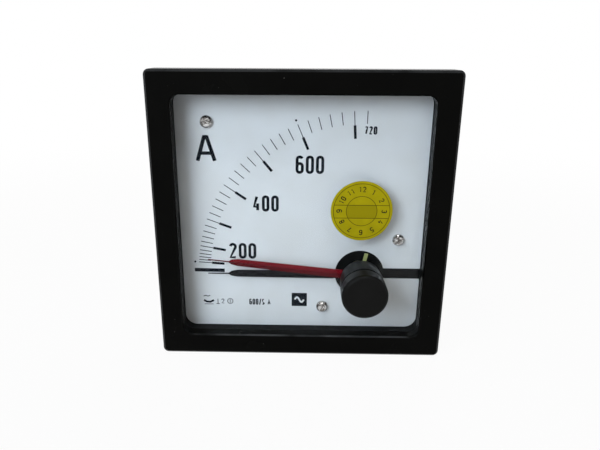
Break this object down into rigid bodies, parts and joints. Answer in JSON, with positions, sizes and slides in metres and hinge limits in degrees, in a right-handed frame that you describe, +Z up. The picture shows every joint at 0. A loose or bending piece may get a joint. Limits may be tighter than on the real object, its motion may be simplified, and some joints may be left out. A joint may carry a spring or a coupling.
{
  "type": "analog panel meter",
  "caption": "Square panel ammeter with a quadrant scale, a black pointer, a red slave pointer held at the highest reading, and a reset knob through the glass.",
  "frame": {"origin": "centre of the panel cut-out, in the plane where the rear of the front frame meets the panel", "axes": "+X to the right and +Z up as seen from the front; +Y into the panel, so the dial looks along -Y"},
  "size_m": [0.1058, 0.089, 0.096],
  "materials": {
    "frame_black": "satin moulded black",
    "case_black": "matt moulded black",
    "glass": "clear flat window glass",
    "rubber_black": "soft black rubber",
    "dial_white": "matt white painted sheet",
    "ink": "printed black ink",
    "nickel": "nickel plated",
    "steel": "plain bright steel",
    "sticker_yellow": "yellow film label",
    "knob_black": "satin moulded black",
    "brass": "turned brass",
    "terminal_brass": "bright brass",
    "finger_pale": "pale moulded plastic",
    "pointer_red": "satin red paint",
    "pointer_black": "satin black paint",
    "plate_aluminium": "bright sheet",
    "bimetal": "rolled strip with straw tint",
    "block_brown": "brown laminate",
    "copper": "rolled copper strip",
    "zinc": "zinc plated"
  },
  "bodies": {
    "housing": {"front_bezel": "frame_black", "window_glass": "glass", "window_gasket": "rubber_black", "case_body": "case_black", "dial_carrier": "case_black", "carrier_screws": "steel", "dial_plate": "dial_white", "scale_print": "ink", "dial_screws": "nickel", "inspection_sticker": "sticker_yellow", "knob_bush": "brass", "bush_washer": "rubber_black", "bush_nut": "brass", "front_plate": "plate_aluminium", "rear_plate": "plate_aluminium", "front_pillars": "brass", "rear_pillars": "brass", "frame_screws": "steel", "heat_shield": "plate_aluminium", "front_bearing": "brass", "rear_bearing": "brass", "bearing_lock_nut": "brass", "heated_spiral": "bimetal", "cool_spiral": "bimetal", "regulator_arm": "brass", "spiral_block": "block_brown", "spiral_clamp_screws": "steel", "left_strap": "copper", "right_strap": "copper", "left_terminal_stud": "terminal_brass", "right_terminal_stud": "terminal_brass", "terminal_lock_nuts": "terminal_brass", "terminal_clamp_washers": "terminal_brass", "terminal_nuts": "terminal_brass", "left_clamp_bracket": "zinc", "right_clamp_bracket": "zinc"},
    "movement": {"indicating_pointer": "pointer_black", "pointer_hub": "brass", "movement_spindle": "steel", "balance_cross": "brass", "balance_weights": "brass", "heated_collet": "brass", "cool_collet": "brass"},
    "slave": {"slave_pointer": "pointer_red"},
    "knob": {"knob_body": "knob_black", "knob_cap": "knob_black", "knob_spindle": "brass", "reset_finger": "finger_pale", "slave_brake_spring": "brass", "slave_clip": "steel"},
    "left_clamp": {"left_clamp_screw": "zinc"},
    "right_clamp": {"right_clamp_screw": "zinc"}
  },
  "joints": [
    {"name": "movement_swing", "type": "hinge", "parent": "housing", "child": "movement", "pos_m": [0.0203, 0, -0.02075], "axis": [0, 1, 0], "range_deg": [0, 91], "stiffness_Nm_per_rad": 0.0015, "deforming": ["heated_spiral", "cool_spiral"]},
    {"name": "slave_swing", "type": "hinge", "parent": "housing", "child": "slave", "pos_m": [0.0203, 0, -0.02075], "axis": [0, 1, 0], "range_deg": [-6.1, 84.9]},
    {"name": "knob_turn", "type": "hinge", "parent": "housing", "child": "knob", "pos_m": [0.0203, 0, -0.02075], "axis": [0, 1, 0], "range_deg": [-141, 0]},
    {"name": "left_clamp_slide", "type": "slide", "parent": "housing", "child": "left_clamp", "axis": [0, -1, 0], "range_m": [-0.01, 0.005]},
    {"name": "right_clamp_slide", "type": "slide", "parent": "housing", "child": "right_clamp", "axis": [0, -1, 0], "range_m": [-0.01, 0.005]}
  ]
}
